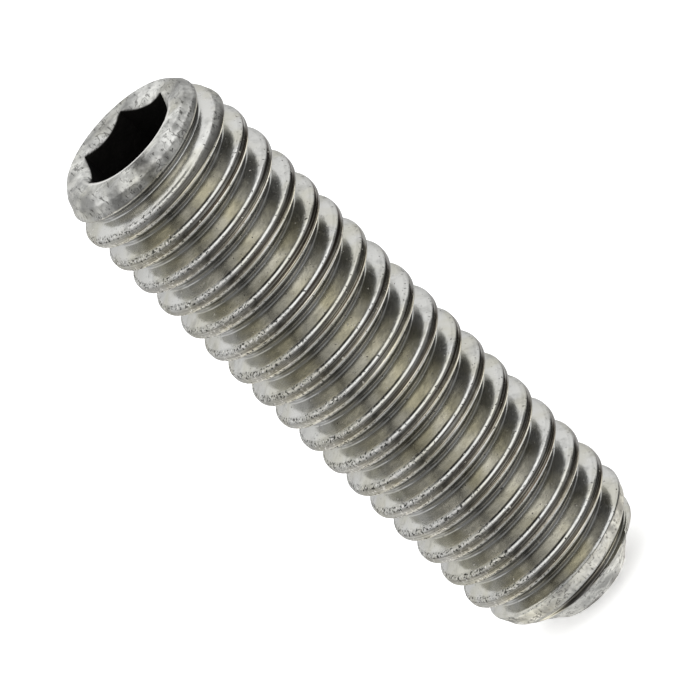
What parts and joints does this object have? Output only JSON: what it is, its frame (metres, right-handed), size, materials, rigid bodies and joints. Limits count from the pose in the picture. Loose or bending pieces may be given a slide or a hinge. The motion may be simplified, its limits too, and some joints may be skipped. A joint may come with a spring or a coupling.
{
  "type": "grub set screw",
  "caption": "Headless metric screw threaded over its whole length, with a hexagon key socket in one end and a cup point at the other.",
  "frame": {"origin": "on the axis, in the plane of the cup point's rim, which the screw stands on", "axes": "+Z along the axis from the cup point to the socket; the lowest crest of the thread crosses +X 0.52 mm above the rim"},
  "size_m": [0.0038, 0.0038, 0.0138],
  "materials": {
    "stainless_steel": "cold rolled, bright, with fine forming marks"
  },
  "bodies": {
    "root": {"set_screw": "stainless_steel"}
  },
  "joints": []
}
